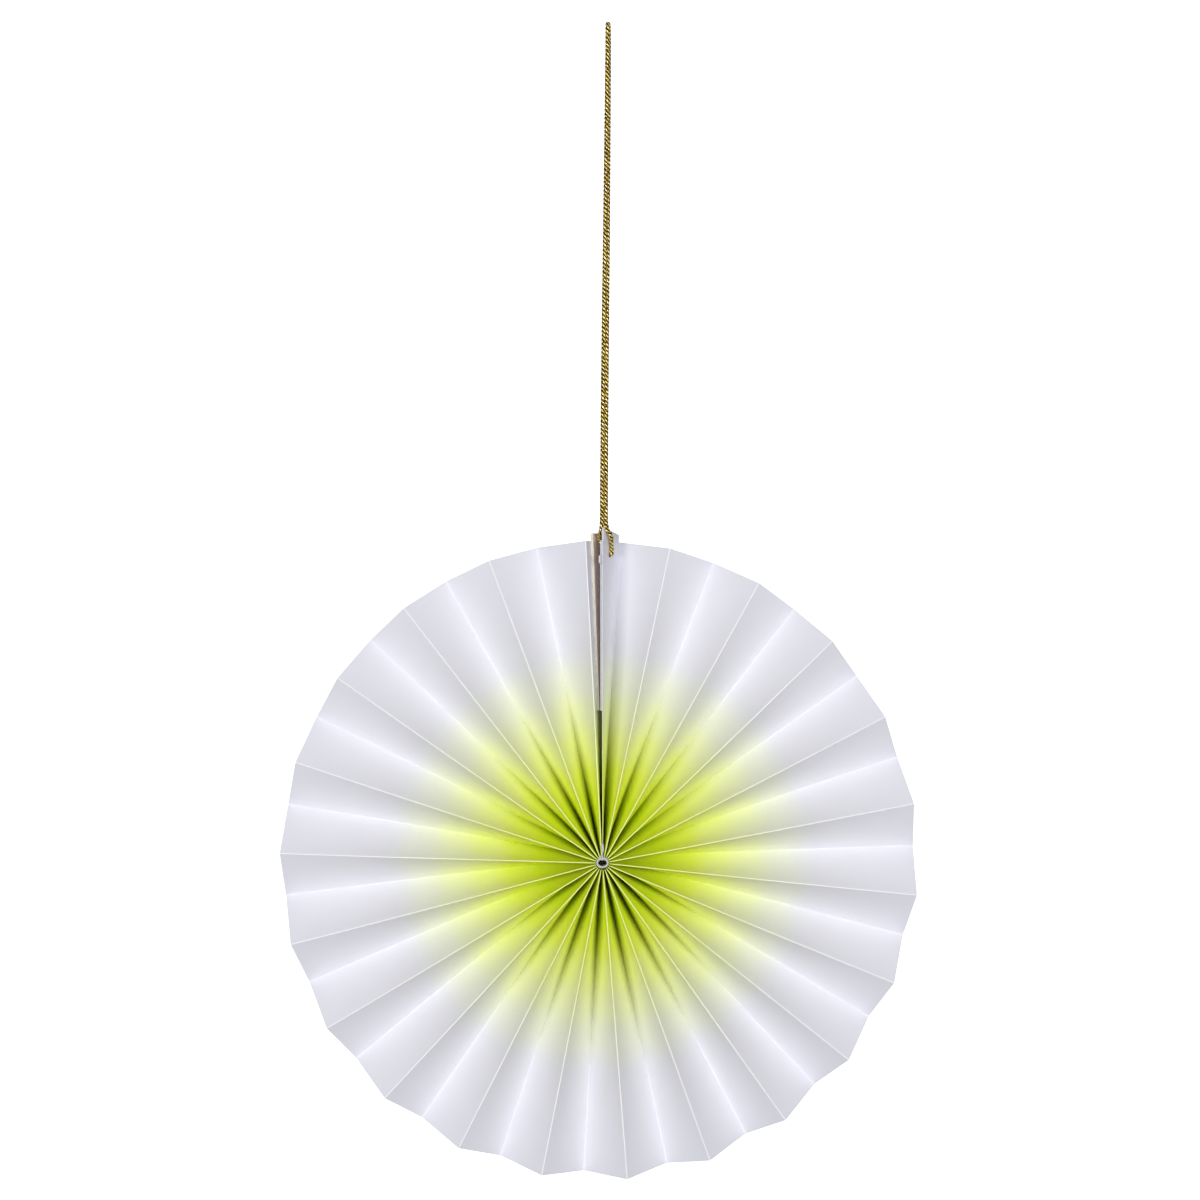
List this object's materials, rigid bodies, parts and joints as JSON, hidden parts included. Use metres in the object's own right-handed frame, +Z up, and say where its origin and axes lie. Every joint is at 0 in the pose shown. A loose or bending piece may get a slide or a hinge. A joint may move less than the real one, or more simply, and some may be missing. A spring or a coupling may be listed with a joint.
{
  "type": "hanging paper fan rosette",
  "caption": "Pleated paper fan opened to a full round rosette, tied at the hub and hung from a doubled cord through its stiff end card.",
  "frame": {"origin": "inside top of the hanging loop, where a nail, hook or branch carries it", "axes": "+Z up along the hanging cord, -Y out of the front of the rosette, +X to the right as seen from the front"},
  "size_m": [0.1999, 0.0191, 0.3625],
  "materials": {
    "pleated_paper": "matt dyed paper, lime at the hub fading to lavender white at the rim",
    "left_end_card": "grey-brown board with a pale cut edge",
    "right_end_card": "pale card with a light cut edge",
    "binding_thread": "white thread",
    "hanging_cord": "twisted gold metallic cord"
  },
  "bodies": {
    "root": {"pleated_paper": "pleated_paper", "left_end_card": "left_end_card", "right_end_card": "right_end_card", "binding_thread": "binding_thread", "hanging_cord": "hanging_cord"}
  },
  "joints": []
}
